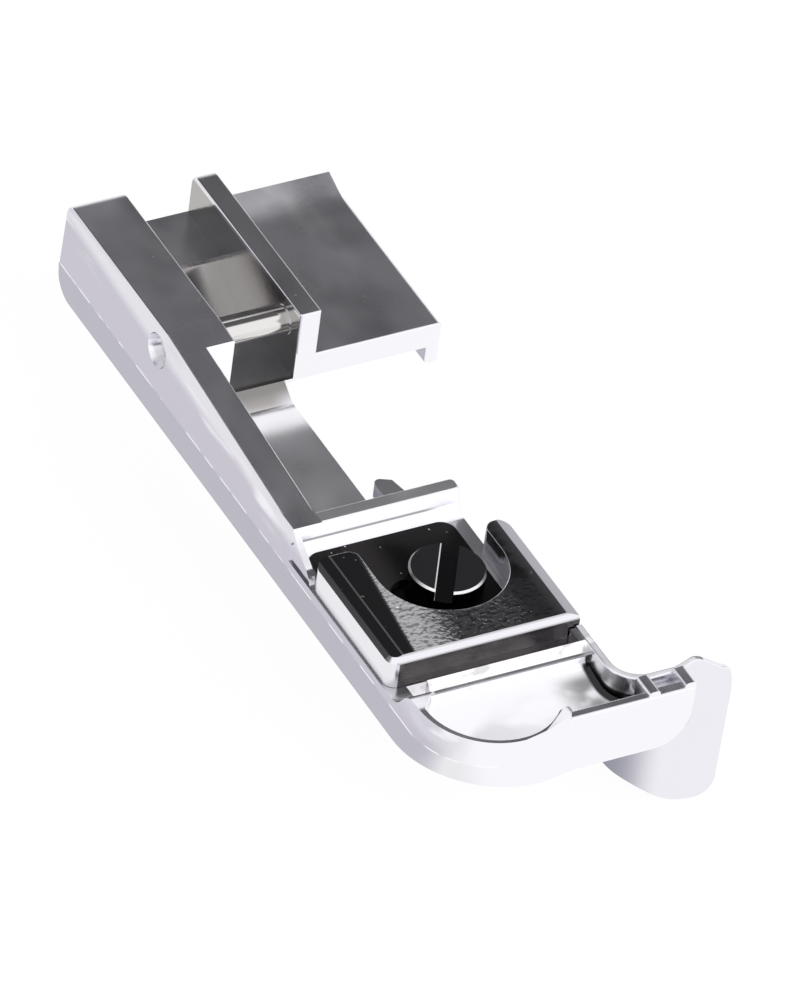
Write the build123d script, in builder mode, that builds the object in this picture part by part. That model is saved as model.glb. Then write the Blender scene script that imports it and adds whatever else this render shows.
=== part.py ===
from build123d import *
from math import asin, degrees
import os

os.makedirs("parts", exist_ok=True)

# Clip-on presser foot for an overlock machine, with a tape guide that slides across
# and is held by a slotted screw. Millimetres. X runs across the foot, Y towards the
# rear of the machine, Z up. The origin is on the snap pin's axis, in mid gap.

# Heights of the casting
wall_top = 2.4
wing_top = -1.9
wing_rear_top = -0.9
wing_thickness = 2.3
rear_floor = -1.5
slot_floor = -3.9
low_plate_top = -4.9
cross_top = 0.3
bed_top = -2.8
lip_top = -1.2
toe_top = -1.0
rim_low = -1.15
rim_high = -0.35
scoop_floor = -3.4
trench_floor = -2.0
parting = -3.5
sole = -6.5
fin_bottom = -14.7

# Places along the foot
rear_end = 16.2
ramp_start = 12.0
floor_step = 10.3
ramp_foot = 6.1
slope_start = -1.0
wall_front = -2.6
block_front = -3.3
cross_rear = -21.9
cross_thickness = 1.3
bed_length = 16.3
tape_slot = 1.5
lip_width = 0.95
toe_length = 9.5
bar_width = 0.9
trench_width = 1.2

# Places across the foot
gap_width = 6.1
block_width = 4.8
rail_width = 2.4
thin_wall = 1.85
wing_reach = 11.1
wing_lip_width = 1.2
wing_lip_drop = 1.65
plate_right = 2.3
cross_right = 6.5
bed_right = 7.1
side_bulge = 0.2
lip_left = -5.5
slot_left = -6.3
slot_right = 7.6
notch_x = 2.75
blade_left = 8.05
bar_right = 13.5
fin_right = 18.1

# Small forms
edge_round = 0.18
end_round = 1.0
heel_round = 1.9
cove_round = 1.0
plate_round = 0.4
bed_cove = 0.35
cross_round = 0.4
lip_round = 0.45
lip_cove = 0.9
toe_corner = 3.0
toe_draft = 0.44
toe_radius = 6.5
toe_bulge = 0.9
nick_round = 0.3
bar_edge = 0.25
scoop_radius = 5.6
scoop_centre_x = -1.6
scoop_set_back = 5.1
scoop_low_set_back = 4.0
scoop_rise = 0.75
scoop_round = 0.7
lip_bevel = 0.65
blade_thickness = 0.6
blade_bend = 2.8
blade_edge = 0.15
shoulder_x = 14.4
shoulder_rise = 0.6
fin_shoulder = 2.8
fin_lean = 0.25
fin_round = 1.7
fin_heel = 5.2
rib_width = 1.0
rib_rise = 0.45
rib_left = 9.4
step_height = 0.4
plate_ramp = 1.6
finger_left = 2.6
finger_width = 1.5
finger_height = 1.3
finger_tip = -16.4
finger_top = -3.0
web_width = 0.55
web_length = 3.2

# Snap pin
pin_diameter = 1.95
pin_seat = 1.2
pin_ring = 0.3
ring_height = 0.1
dimple_diameter = 3.0
dimple_depth = 0.9

# Tape guide
guide_top = 0.0
guide_gap = 0.03
guide_front_gap = 0.1
guide_right = 8.45
guide_travel = 2.8
flange_thickness = 0.5
flange_left = -7.0
flange_right = 5.6
flange_rear = -23.6
flange_round = 1.2
notch_radius = 5.35
notch_centre_x = 1.0
notch_centre_y = -30.4
prong_length = 3.8
right_prong_step = 0.6
prong_round = 0.9
band_width = 1.25
band_drop = 0.22
margin_width = 0.95
margin_drop = 0.3
front_bevel = 0.5
guide_corner = 1.0
guide_edge = 0.12

# Clamp screw
screw_x = 1.65
screw_y = -30.55
head_diameter = 6.05
head_height = 1.8
head_edge = 0.16
head_gap = 0.03
thread_diameter = 3.0
thread_end = 0.4
slot_width = 1.4
slot_depth = 1.0
slot_turn = 57.7
running_gap = 0.05
guide_slot_gap = 0.25

# Derived places
gap_left = -gap_width / 2
gap_right = gap_width / 2
block_left = gap_left - block_width
rail_inner = block_left + rail_width
thin_right = gap_right + thin_wall
wing_right = thin_right + wing_reach
wing_bottom = wing_top - wing_thickness
cross_front = cross_rear - cross_thickness
bed_front = cross_front - bed_length
slot_front = bed_front - tape_slot
lip_front = slot_front - lip_width
bar_front = bed_front - toe_length
bar_rear = bar_front + bar_width
blade_front = bar_rear + trench_width
blade_middle = blade_left + blade_thickness / 2
scoop_centre_y = bar_front + scoop_set_back
scoop_low_y = bar_front + scoop_low_set_back
rim_front = bar_front - 0.85 * toe_bulge
fin_width = fin_right - blade_left
prong_rear = notch_centre_y + prong_length
right_prong_rear = prong_rear - right_prong_step
right_prong_width = guide_right - notch_centre_x - notch_radius
tip_round = min(prong_round, 0.45 * right_prong_width)
clear = 5.0
over = 1.0
touch = 0.01

# Blade that turns round the toe and ends in the hanging fin, one sheet of the casting
with BuildPart() as blade:
    with BuildSketch(Plane.XY.offset(fin_bottom)):
        with BuildLine():
            side = Line((blade_left, bed_front), (blade_left, blade_front + blade_bend))
            bend = JernArc(side @ 1, side % 1, blade_bend, 90)
            Line(bend @ 1, (fin_right, blade_front))
            offset(amount=blade_thickness, side=Side.LEFT)
        make_face()
    extrude(amount=clear - fin_bottom)

    # Front view: low over the toe, a shoulder past it, then down to the rounded tip
    with BuildSketch(Plane.XZ.offset(-bed_front)):
        with BuildLine():
            top = Line((blade_left, toe_top), (bar_right - shoulder_rise, toe_top))
            rise = Spline(
                top @ 1,
                (shoulder_x, toe_top + shoulder_rise),
                (fin_right - 0.4 * fin_shoulder, toe_top - 0.3 * fin_shoulder),
                (fin_right, toe_top - fin_shoulder),
                tangents=[(1, 0.2), (0.1, -1)],
            )
            edge = Line(rise @ 1, (fin_right - fin_lean, fin_bottom + fin_round))
            tip = ThreePointArc(
                edge @ 1,
                (fin_right - 0.44 * fin_round, fin_bottom + 0.26 * fin_round),
                (fin_right - fin_round, fin_bottom),
            )
            foot = Spline(
                tip @ 1,
                (blade_left + 0.46 * fin_width, fin_bottom + 0.23 * fin_heel),
                (blade_left + 0.18 * fin_width, fin_bottom + 0.67 * fin_heel),
                (blade_left, fin_bottom + fin_heel),
                tangents=[(-1, 0), (-0.6, 1)],
            )
            Line(foot @ 1, top @ 0)
        make_face()
    extrude(amount=bed_front - bar_front, mode=Mode.INTERSECT)

    # Its lower edge rises to the sole behind the bend
    with BuildSketch(Plane.YZ.offset(blade_left)):
        with BuildLine():
            Polyline(
                (bed_front, sole),
                (slot_front, sole),
                (blade_front + blade_bend / 2, fin_bottom + 0.9 * fin_heel),
                (blade_front + blade_bend / 2, fin_bottom),
                (bed_front, fin_bottom),
                close=True,
            )
        make_face()
    extrude(amount=fin_right - blade_left, mode=Mode.SUBTRACT)

    # Fine rounds along its top
    sheet_edges = edges().filter_by(lambda e: e.length > 1.5 * blade_thickness)
    fillet(sheet_edges.filter_by_position(Axis.Z, 2 * toe_top, clear), blade_edge)

# What the scoop takes out of the toe: upright walls with a floor that falls to the front
scoop_arc = 180 - degrees(asin((scoop_centre_y - bar_rear) / scoop_radius))
with BuildPart() as scoop:
    with BuildSketch(Plane.XY.offset(sole)):
        with BuildLine():
            hollow = CenterArc((scoop_centre_x, scoop_centre_y), scoop_radius, 180, scoop_arc)
            flank = Polyline(
                hollow @ 1,
                (rib_left + rib_width / 2, bar_rear),
                (rib_left + rib_width / 2, blade_front + blade_thickness),
            )
            turn = ThreePointArc(
                flank @ 1,
                (blade_middle + blade_bend * 0.16, blade_front + blade_bend * 0.48),
                (blade_middle, blade_front + blade_bend),
            )
            Polyline(turn @ 1, (blade_middle, lip_front), (lip_left, lip_front), hollow @ 0)
        make_face()
    extrude(amount=clear - sole)
    with BuildSketch(Plane.YZ.offset(block_left - over)):
        with BuildLine():
            floor = ThreePointArc(
                (slot_front, scoop_floor + scoop_rise),
                (scoop_low_y, scoop_floor),
                (bar_front - over, scoop_floor + scoop_rise / 2),
            )
            Polyline(floor @ 1, (bar_front - over, clear), (slot_front, clear), floor @ 0)
        make_face()
    extrude(amount=bar_right - block_left, mode=Mode.INTERSECT)
    fillet(faces().sort_by(Axis.Z)[0].edges(), scoop_round)

# Toe in front of the bed, first its left part, which bulges at the parting line
with BuildPart() as toe:
    side_lean = side_bulge / (wall_top - parting)
    for height, side, draft, front, radius in (
        (sole, block_left + side_bulge / 4, 0, bar_front - toe_bulge / 3, 1.3 * toe_radius),
        (parting, block_left - side_bulge, 0, bar_front - toe_bulge, toe_radius),
        (rim_high, block_left - (wall_top - rim_high) * side_lean, toe_draft, rim_front, 0.9 * toe_radius),
    ):
        left = side + draft
        with BuildSketch(Plane.XY.offset(height)):
            with BuildLine():
                corner = CenterArc((left + radius, front + radius), radius, 180, 90)
                Polyline(
                    corner @ 1,
                    (notch_x, bar_front),
                    (notch_x, bed_front),
                    (side, bed_front),
                    corner @ 0,
                )
            make_face()
    loft(ruled=True)

    # Rim of the left part: low in the middle, up to a point where the bar begins
    with BuildSketch(Plane.XZ.offset(-bed_front)):
        with BuildLine():
            rim = Spline(
                (block_left - over, rim_low),
                (scoop_centre_x, rim_low),
                (notch_x, rim_high),
                tangents=[(1, 0), (1, 0.8)],
            )
            Polyline(rim @ 1, (notch_x, clear), (block_left - over, clear), rim @ 0)
        make_face()
    extrude(amount=bed_front - bar_front + clear, mode=Mode.SUBTRACT)

    # Right part, up to the middle of the blade
    with BuildSketch(Plane.XY.offset(sole)):
        with BuildLine():
            flank = Polyline(
                (notch_x, bed_front), (blade_middle, bed_front), (blade_middle, blade_front + blade_bend)
            )
            bend = JernArc(flank @ 1, flank % 1, blade_bend - blade_thickness / 2, 90)
            Polyline(
                bend @ 1,
                (bar_right, blade_front + blade_thickness / 2),
                (bar_right, bar_front),
                (notch_x, bar_front),
                flank @ 0,
            )
        make_face()
    extrude(amount=toe_top - sole)
    right_edges = edges().filter_by(Axis.Y).group_by(Axis.X)[-1].sort_by(Axis.Z)
    fillet(right_edges[0], toe_corner)

    # Lip in front of the tape slot is lower than the toe, and so is the wall left of it
    with BuildSketch(Plane.XY.offset(lip_top)):
        with BuildLine():
            Polyline(
                (lip_left, bed_front),
                (blade_middle, bed_front),
                (blade_middle, lip_front),
                (lip_left, lip_front),
                close=True,
            )
        make_face()
    extrude(amount=clear, mode=Mode.SUBTRACT)
    with BuildSketch(Plane.YZ.offset(block_left - over)):
        with BuildLine():
            wall = Line((bed_front + over, bed_top), (slot_front + lip_bevel, bed_top))
            climb = Spline(wall @ 1, (lip_front - lip_bevel, rim_low), tangents=[(-1, 0), (-1, 0.2)])
            Polyline(climb @ 1, (lip_front - lip_bevel, clear), (bed_front + over, clear), wall @ 0)
        make_face()
    extrude(amount=lip_left - block_left + over, mode=Mode.SUBTRACT)

    # Lip has a bevel down to a narrow ledge over the scoop
    with BuildSketch(Plane.YZ.offset(lip_left)):
        with BuildLine():
            Polyline(
                (slot_front, lip_top),
                (slot_front - lip_bevel, lip_top - lip_bevel),
                (lip_front, lip_top - 1.1 * lip_bevel),
                (lip_front, lip_top),
                close=True,
            )
        make_face()
    extrude(amount=blade_left - lip_left, mode=Mode.SUBTRACT)
    add(scoop.part, mode=Mode.SUBTRACT)

    # Trench between bar and blade, its floor falling to the blade, with two ribs across it
    with BuildSketch(Plane.YZ.offset(rib_left)):
        with BuildLine():
            Polyline(
                (bar_rear, toe_top),
                (blade_front + blade_thickness / 2, trench_floor),
                (blade_front + blade_thickness / 2, clear),
                (bar_rear, clear),
                close=True,
            )
        make_face()
    extrude(amount=bar_right - rib_left, mode=Mode.SUBTRACT)

    # Rounds at the rim's point, along the bar's top and round its right end
    point_edges = edges().filter_by_position(Axis.X, notch_x - touch, notch_x + touch)
    point_edges = point_edges.filter_by_position(Axis.Z, toe_top, rim_high)
    fillet(point_edges.filter_by(lambda e: abs(e.tangent_at(0.5).Z) > 0.9), nick_round)
    bar_edges = edges().filter_by(Axis.X).filter_by_position(Axis.Z, toe_top - touch, toe_top + touch)
    bar_edges = bar_edges.filter_by(lambda e: e.length > bar_right - rib_left + bar_width)
    bar_edges = bar_edges.filter_by_position(Axis.Y, bar_front - touch, bar_rear + touch)
    end_edges = edges().filter_by_position(Axis.Y, bar_front - touch, bar_front + touch)
    end_edges = end_edges.filter_by_position(Axis.X, bar_right - toe_corner / 2, bar_right + touch)
    end_edges = end_edges.filter_by_position(Axis.Z, sole + touch, toe_top - touch)
    fillet(bar_edges + end_edges, bar_edge)
    with BuildSketch(Plane.XZ.offset(-blade_front)):
        for rib_x in (rib_left + rib_width / 2, bar_right - rib_width / 2):
            with Locations((rib_x, (toe_top + rib_rise + sole / 2) / 2)):
                RectangleRounded(rib_width, toe_top + rib_rise - sole / 2, rib_width / 3)
    extrude(amount=trench_width + bar_width * 0.9)

    # Slot that the tape goes down through
    with BuildSketch(Plane.XY.offset(sole)):
        with Locations(((slot_left + slot_right) / 2, bed_front - tape_slot / 2)):
            Rectangle(slot_right - slot_left, tape_slot)
    extrude(amount=clear - sole, mode=Mode.SUBTRACT)
    add(blade.part)

# Crossbar, its right end a little wider at the foot
with BuildPart() as crossbar:
    with BuildSketch(Plane.XZ.offset(-cross_rear)):
        with BuildLine():
            Polyline(
                (rail_inner - rail_width / 2, cross_top),
                (cross_right, cross_top),
                (bed_right, bed_top),
                (bed_right, sole),
                (rail_inner - rail_width / 2, sole),
                close=True,
            )
        make_face()
    extrude(amount=cross_thickness)
    end_edges = edges().filter_by_position(Axis.X, cross_right, bed_right + touch)
    fillet(end_edges.filter_by(lambda e: abs(e.tangent_at(0.5).Z) > 0.9), cross_round)
    fillet(faces().sort_by(Axis.Z)[-1].edges().filter_by_position(Axis.X, rail_inner, bed_right), edge_round)

# Casting, first the block with its two walls and the wing, as one section
with BuildPart() as foot_body:
    with BuildSketch(Plane.XZ.offset(-rear_end)):
        with BuildLine():
            Polyline(
                (block_left, wall_top),
                (gap_left, wall_top),
                (gap_left, rear_floor),
                (gap_right, rear_floor),
                (gap_right, wall_top),
                (thin_right, wall_top),
                (thin_right, wing_top),
                (wing_right, wing_top),
                (wing_right, wing_bottom - wing_lip_drop),
                (wing_right - wing_lip_width, wing_bottom - wing_lip_drop),
                (wing_right - wing_lip_width, wing_bottom),
                (plate_right, wing_bottom),
                (plate_right, sole),
                (block_left + side_bulge / 4, sole),
                (block_left - side_bulge, parting),
                close=True,
            )
        make_face()
        outer = vertices().group_by(Axis.X)[-1] + vertices().filter_by_position(
            Axis.Y, wing_bottom - wing_lip_drop - touch, wing_bottom - wing_lip_drop + touch
        ).sort_by(Axis.X)[:1]
        fillet(outer, lip_round)
        inner = vertices().filter_by_position(Axis.Y, wing_bottom - touch, wing_bottom + touch)
        fillet(inner.sort_by(Axis.X)[0], cove_round)
        fillet(inner.sort_by(Axis.X)[-1], lip_cove)
    extrude(amount=rear_end - wall_front)

    # Long rail at the left, from the block to the tape slot
    with BuildSketch(Plane.XZ.offset(-wall_front)):
        with BuildLine():
            Polyline(
                (block_left, wall_top),
                (rail_inner, wall_top),
                (rail_inner, sole),
                (block_left + side_bulge / 4, sole),
                (block_left - side_bulge, parting),
                close=True,
            )
        make_face()
    extrude(amount=wall_front - bed_front)

    # Inner half of the block ends a little in front of the thin wall
    with BuildSketch(Plane.XZ.offset(-wall_front)):
        with Locations(((rail_inner + gap_left) / 2, (wall_top + sole) / 2)):
            Rectangle(gap_left - rail_inner, wall_top - sole)
    extrude(amount=wall_front - block_front)

    # Top of rail and block slopes to the crossbar, and drops to the bed in front of it
    with BuildSketch(Plane.YZ.offset(block_left - over)):
        with BuildLine():
            Polyline(
                (slope_start, wall_top),
                (cross_rear, cross_top),
                (cross_front, cross_top),
                (cross_front, bed_top),
                (bed_front - over, bed_top),
                (bed_front - over, clear),
                (slope_start, clear),
                close=True,
            )
        make_face()
    extrude(amount=block_width + over, mode=Mode.SUBTRACT)

    # Rear end: round top edges, a larger round under the heel
    with BuildSketch(Plane.YZ.offset(block_left - over)):
        with BuildLine():
            Polyline(
                (rear_end, wall_top),
                (rear_end, sole),
                (bed_front - over, sole),
                (bed_front - over, wall_top),
                close=True,
            )
        make_face()
        fillet(vertices().group_by(Axis.X)[-1].sort_by(Axis.Y)[-1], end_round)
        fillet(vertices().group_by(Axis.X)[-1].sort_by(Axis.Y)[0], heel_round)
    extrude(amount=wing_right - block_left + 2 * over, mode=Mode.INTERSECT)

    # Rounded edges of the block, the thin wall and the wing
    upper = faces().filter_by(lambda f: f.normal_at().Z > 0.9 and f.center().Z > wing_rear_top)
    long_edges = upper.edges().filter_by(lambda e: abs(e.tangent_at(0.5).X) < 0.5 and e.length > 2)
    front = faces().filter_by(Axis.Y).filter_by_position(Axis.Y, wall_front - touch, wall_front + touch)
    front_edges = front.edges().filter_by(lambda e: e.center().X > gap_right - touch)
    fillet(long_edges + front_edges, edge_round)

    # Low plate beside the rail
    with BuildSketch(Plane.YZ.offset(rail_inner)):
        with BuildLine():
            Polyline(
                (wall_front, slot_floor),
                (wall_front - plate_ramp, low_plate_top),
                (cross_front, low_plate_top),
                (cross_front, sole),
                (wall_front, sole),
                close=True,
            )
        make_face()
    extrude(amount=plate_right - rail_inner)

    add(crossbar.part)

    # Bed under the guide, wider towards the blade
    with BuildSketch(Plane.XY.offset(sole)):
        with BuildLine():
            Polyline(
                (rail_inner, cross_front),
                (bed_right, cross_front),
                (bed_right, screw_y + head_diameter / 2),
                (blade_left + blade_thickness, bed_front + head_diameter / 2),
                (blade_left + blade_thickness, bed_front),
                (rail_inner, bed_front),
                close=True,
            )
        make_face()
    extrude(amount=bed_top - sole)

    # Lower slot floor under the pin, with a small step and a ramp behind it
    with BuildSketch(Plane.YZ.offset(gap_left)):
        with BuildLine():
            Polyline(
                (floor_step, wall_top),
                (floor_step, rear_floor - step_height),
                (ramp_foot, slot_floor),
                (wall_front, slot_floor),
                (wall_front, wall_top),
                close=True,
            )
        make_face()
    extrude(amount=gap_width, mode=Mode.SUBTRACT)

    # Wing rises a little towards its rear edge
    with BuildSketch(Plane.YZ.offset(thin_right)):
        with BuildLine():
            ramp = Spline((ramp_start, wing_top), (rear_end, wing_rear_top), tangents=[(1, 0), (1, 0.3)])
            Polyline(ramp @ 1, (rear_end, wing_top), ramp @ 0)
        make_face()
    extrude(amount=wing_reach - lip_round)

    # Stitch finger behind the crossbar, on the needle's left
    with BuildSketch(Plane.XY.offset(finger_top - finger_height)):
        with BuildLine():
            Polyline(
                (finger_left, cross_rear),
                (finger_left, finger_tip),
                (finger_left + finger_width, finger_tip - finger_width / 2),
                (finger_left + 1.7 * finger_width, cross_rear),
                close=True,
            )
        make_face()
        fillet(vertices().sort_by(Axis.Y)[-1], finger_width / 3)
        fillet(vertices().sort_by(Axis.Y)[-1], finger_width / 5)
    extrude(amount=finger_height)

    # Coves at the feet of the rail and the crossbar
    plate_edges = edges().filter_by_position(Axis.Z, low_plate_top - touch, low_plate_top + touch)
    corner_x = plate_edges.filter_by_position(Axis.X, rail_inner - touch, rail_inner + touch)
    corner_y = plate_edges.filter_by_position(Axis.Y, cross_rear - touch, cross_rear + touch)
    fillet(corner_x + corner_y, plate_round)
    with BuildSketch(Plane.YZ.offset(block_left + web_width)):
        with BuildLine():
            cove = CenterArc((cross_front - bed_cove, bed_top + bed_cove), bed_cove, -90, 90)
            Polyline(cove @ 1, (cross_front, bed_top), cove @ 0)
        make_face()
    extrude(amount=bed_right - block_left - web_width)

    # Web that runs down from the crossbar to the bed along the left edge
    with BuildSketch(Plane.YZ.offset(block_left)):
        with BuildLine():
            back = Line((cross_front, cross_top - edge_round), (cross_front, bed_top))
            base = Line(back @ 1, (cross_front - web_length, bed_top))
            Spline(base @ 1, back @ 0, tangents=[(0.4, 1), (0.4, 1)])
        make_face()
    extrude(amount=web_width)

    add(toe.part)

    # Seat of the pin, across the block and into the thin wall, with a dimple outside
    with BuildSketch(Plane.YZ.offset(block_left - over)):
        Circle(pin_diameter / 2)
    extrude(amount=gap_right + pin_seat - block_left + over, mode=Mode.SUBTRACT)
    with BuildSketch(Plane.YZ.offset(block_left - side_bulge)):
        Circle(dimple_diameter / 2)
    extrude(amount=dimple_depth + side_bulge, taper=15, mode=Mode.SUBTRACT)

    # Raised ring where it enters the thin wall
    with BuildSketch(Plane.YZ.offset(gap_right - ring_height)):
        Circle(pin_diameter / 2 + pin_ring)
        Circle(pin_diameter / 2, mode=Mode.SUBTRACT)
    extrude(amount=ring_height)

    # Threaded hole for the clamp screw
    with Locations(Plane.XY.offset(bed_top)):
        with Locations((screw_x, screw_y)):
            Hole(thread_diameter / 2 + running_gap)

foot_body.part.label = "foot_body"
export_step(foot_body.part, "parts/foot_body.step")

# Pin pressed across the gap
with BuildPart() as snap_pin:
    with BuildSketch(Plane.YZ.offset(block_left + dimple_depth)):
        Circle(pin_diameter / 2)
    extrude(amount=gap_right + pin_seat - block_left - dimple_depth)
    chamfer(snap_pin.faces().sort_by(Axis.X)[0].edges(), pin_diameter / 12)

snap_pin.part.label = "snap_pin"
export_step(snap_pin.part, "parts/snap_pin.step")

# Tape guide: a raised block with a notch round the screw head, on a thin flange
guide_bottom = bed_top + guide_gap
guide_front = bed_front + guide_front_gap
flange_top = guide_bottom + flange_thickness
with BuildPart() as tape_guide:
    with BuildSketch(Plane.XY.offset(guide_bottom)):
        with Locations(((block_left + guide_right) / 2, (guide_front + prong_rear) / 2)):
            Rectangle(guide_right - block_left, prong_rear - guide_front)
        fillet(vertices().sort_by(Axis.Y)[:2].sort_by(Axis.X)[0], guide_corner)
    extrude(amount=guide_top - guide_bottom)
    front_rim = faces().sort_by(Axis.Z)[-1].edges().sort_by(Axis.Y)[0]
    chamfer(front_rim, front_bevel)
    with BuildSketch(Plane.XY.offset(guide_bottom)):
        with BuildLine():
            Polyline(
                (block_left, guide_front),
                (guide_right, guide_front),
                (guide_right, right_prong_rear),
                (notch_centre_x, right_prong_rear),
                (notch_centre_x, prong_rear),
                (block_left, prong_rear),
                close=True,
            )
        make_face()
        with Locations((notch_centre_x, notch_centre_y)):
            Circle(notch_radius, mode=Mode.SUBTRACT)
        with Locations((notch_centre_x, (notch_centre_y + prong_rear) / 2)):
            Rectangle(2 * notch_radius, prong_rear - notch_centre_y, mode=Mode.SUBTRACT)
        fillet(vertices().filter_by_position(Axis.Y, right_prong_rear - touch, prong_rear + touch), tip_round)
    extrude(amount=guide_top - guide_bottom, mode=Mode.INTERSECT)

    # Fine round along the notch and the prongs
    rim = faces().sort_by(Axis.Z)[-1].edges()
    rim = rim.filter_by_position(Axis.X, block_left + 1.5 * front_bevel, guide_right - touch)
    fillet(rim.filter_by_position(Axis.Y, guide_front + guide_corner, clear), guide_edge)

    # Top falls away in a band along the left edge and in a margin along the right one
    with BuildSketch(Plane.XZ.offset(-prong_rear)):
        with BuildLine():
            Polyline(
                (block_left, guide_top),
                (block_left, guide_top - band_drop),
                (block_left + band_width, guide_top),
                close=True,
            )
        make_face()
        with BuildLine():
            Polyline(
                (guide_right, guide_top),
                (guide_right, guide_top - margin_drop),
                (guide_right - margin_width, guide_top),
                close=True,
            )
        make_face()
    extrude(amount=prong_rear - guide_front, mode=Mode.SUBTRACT)

    # Flange under the screw head, slotted for the guide's travel
    with BuildSketch(Plane.XY.offset(guide_bottom)):
        with BuildLine():
            Polyline(
                (flange_left, flange_rear),
                (flange_right, flange_rear),
                (flange_right, notch_centre_y - notch_radius),
                (flange_left, notch_centre_y - notch_radius),
                close=True,
            )
        make_face()
        fillet(vertices().group_by(Axis.Y)[-1], flange_round)
    extrude(amount=flange_thickness)
    with BuildSketch(Plane.XY.offset(guide_bottom)):
        with Locations((screw_x - guide_travel / 2, screw_y)):
            SlotCenterToCenter(guide_travel, thread_diameter + 2 * guide_slot_gap)
    extrude(amount=flange_thickness, mode=Mode.SUBTRACT)

tape_guide.part.label = "tape_guide"
export_step(tape_guide.part, "parts/tape_guide.step")

# Clamp screw: slotted cheese head and its shank through the bed
with BuildPart() as clamp_screw:
    with BuildSketch(Plane.XY.offset(flange_top + head_gap)):
        with Locations((screw_x, screw_y)):
            Circle(head_diameter / 2)
    extrude(amount=head_height)
    chamfer(clamp_screw.faces().sort_by(Axis.Z)[-1].edges(), head_edge)
    with BuildSketch(Plane.XY.offset(flange_top + head_gap + head_height)):
        with Locations(Location((screw_x, screw_y, 0), (0, 0, slot_turn))):
            Rectangle(head_diameter + over, slot_width)
    extrude(amount=-slot_depth, mode=Mode.SUBTRACT)
    with BuildSketch(Plane.XY.offset(flange_top + head_gap)):
        with Locations((screw_x, screw_y)):
            Circle(thread_diameter / 2)
    extrude(amount=sole + thread_end - flange_top - head_gap)
    chamfer(clamp_screw.faces().sort_by(Axis.Z)[0].edges(), thread_end)

clamp_screw.part.label = "clamp_screw"
export_step(clamp_screw.part, "parts/clamp_screw.step")
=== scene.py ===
import math

import bpy
from mathutils import Matrix, Vector


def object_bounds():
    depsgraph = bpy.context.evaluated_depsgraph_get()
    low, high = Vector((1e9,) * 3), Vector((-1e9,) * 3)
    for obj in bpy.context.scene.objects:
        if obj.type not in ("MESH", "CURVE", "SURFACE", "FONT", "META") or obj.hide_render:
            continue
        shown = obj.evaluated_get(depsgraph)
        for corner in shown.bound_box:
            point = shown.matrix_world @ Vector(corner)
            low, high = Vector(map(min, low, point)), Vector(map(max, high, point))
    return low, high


# Clip-on overlock presser foot: satin chrome casting, steel pin, black-topped tape guide and
# blackened clamp screw. The metal's look is mostly what it mirrors, so the surroundings
# matter as much as the finishes.

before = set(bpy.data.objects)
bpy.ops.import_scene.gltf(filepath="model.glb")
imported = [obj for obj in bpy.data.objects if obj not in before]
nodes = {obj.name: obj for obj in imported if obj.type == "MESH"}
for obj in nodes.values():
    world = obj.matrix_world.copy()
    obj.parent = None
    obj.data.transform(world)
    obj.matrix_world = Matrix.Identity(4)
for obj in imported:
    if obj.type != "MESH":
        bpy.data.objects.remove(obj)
cadLow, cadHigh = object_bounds()
mm = 0.001
print("frame loaded with", len(nodes), "nodes")


# Small helpers for shader trees

def findSocket(sockets, name):
    if isinstance(name, int):
        return sockets[name]
    named = [socket for socket in sockets if socket.name == name]
    live = [socket for socket in named if socket.enabled]
    return (live or named)[0]


def linkNodes(tree, source, output, target, socket):
    tree.links.new(findSocket(source.outputs, output), findSocket(target.inputs, socket))


def addNode(tree, kind, place, **values):
    node = tree.nodes.new(kind)
    node.location = place
    for name, value in values.items():
        setattr(node, name, value)
    return node


def addMix(tree, place, factor, low, high):
    node = addNode(tree, "ShaderNodeMix", place, data_type="RGBA")
    findSocket(node.inputs, "A").default_value = low
    findSocket(node.inputs, "B").default_value = high
    tree.links.new(factor, findSocket(node.inputs, "Factor"))
    return node


def addMath(tree, operation, place, second=None):
    node = addNode(tree, "ShaderNodeMath", place, operation=operation)
    if second is not None:
        node.inputs[1].default_value = second
    return node


def startGroup(name, inputs, outputs):
    group = bpy.data.node_groups.new(name, "ShaderNodeTree")
    for label, kind, value in inputs:
        socket = group.interface.new_socket(label, in_out="INPUT", socket_type=kind)
        socket.default_value = value
    for label, kind in outputs:
        group.interface.new_socket(label, in_out="OUTPUT", socket_type=kind)
    source = addNode(group, "NodeGroupInput", (-900, 0))
    target = addNode(group, "NodeGroupOutput", (700, 0))
    return group, source, target


def placeGroup(tree, group, place, **values):
    node = addNode(tree, "ShaderNodeGroup", place, node_tree=group)
    for label, value in values.items():
        node.inputs[label].default_value = value
    return node


def startMaterial(name):
    material = bpy.data.materials.new(name)
    material.use_nodes = True
    tree = material.node_tree
    shader = tree.nodes["Principled BSDF"]
    shader.location = (600, 0)
    tree.nodes["Material Output"].location = (900, 0)
    return material, tree, shader


def setSockets(shader, values):
    for name, value in values.items():
        shader.inputs[name].default_value = value


# Shared surface effects, as shader node groups

def addRamp(group, source, node, output):
    ramp = addNode(group, "ShaderNodeMapRange", (100, 150), interpolation_type="SMOOTHSTEP")
    linkNodes(group, node, output, ramp, "Value")
    linkNodes(group, source, "From", ramp, "From Min")
    linkNodes(group, source, "To", ramp, "From Max")
    return ramp


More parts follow.
